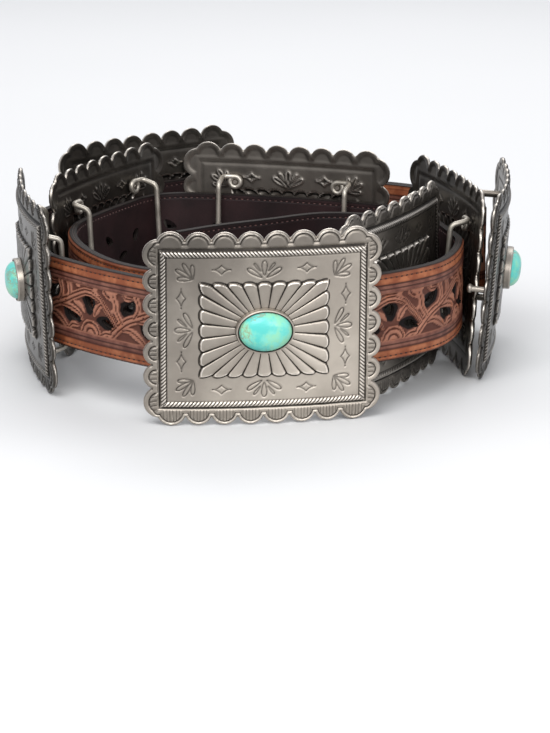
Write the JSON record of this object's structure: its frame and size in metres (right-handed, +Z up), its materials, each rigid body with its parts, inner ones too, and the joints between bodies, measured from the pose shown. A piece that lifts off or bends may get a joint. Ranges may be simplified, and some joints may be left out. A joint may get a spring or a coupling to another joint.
{
  "type": "concho belt",
  "caption": "Tooled, pierced leather belt stood up in a spiral, with scalloped metal conchos held on wire bails and set with oval turquoise, and a matching buckle.",
  "frame": {"origin": "on the floor, under the middle of the coil's bounding box", "axes": "+Z up, -Y towards the side that the front concho faces, +X towards the buckle"},
  "size_m": [0.2292, 0.24, 0.0839],
  "materials": {
    "leather": "tooled and pierced, satin",
    "plate_metal": "antiqued white metal, satin",
    "wire_metal": "bright drawn wire",
    "turquoise": "polished cabochon"
  },
  "bodies": {
    "root": {"strap": "leather", "buckle": "plate_metal", "stone_buckle": "turquoise", "concho_back_left": "plate_metal", "stone_back_left": "turquoise", "bail_back_left_1": "wire_metal", "bail_back_left_2": "wire_metal", "concho_left": "plate_metal", "stone_left": "turquoise", "bail_left_1": "wire_metal", "bail_left_2": "wire_metal", "concho_front": "plate_metal", "stone_front": "turquoise", "bail_front_1": "wire_metal", "bail_front_2": "wire_metal", "concho_right_inner": "plate_metal", "stone_right_inner": "turquoise", "bail_right_inner_1": "wire_metal", "bail_right_inner_2": "wire_metal", "concho_back_inner": "plate_metal", "stone_back_inner": "turquoise", "bail_back_inner_1": "wire_metal", "bail_back_inner_2": "wire_metal", "concho_left_inner": "plate_metal", "stone_left_inner": "turquoise", "bail_left_inner_1": "wire_metal", "bail_left_inner_2": "wire_metal", "concho_front_inner": "plate_metal", "stone_front_inner": "turquoise", "bail_front_inner_1": "wire_metal", "bail_front_inner_2": "wire_metal"}
  },
  "joints": []
}
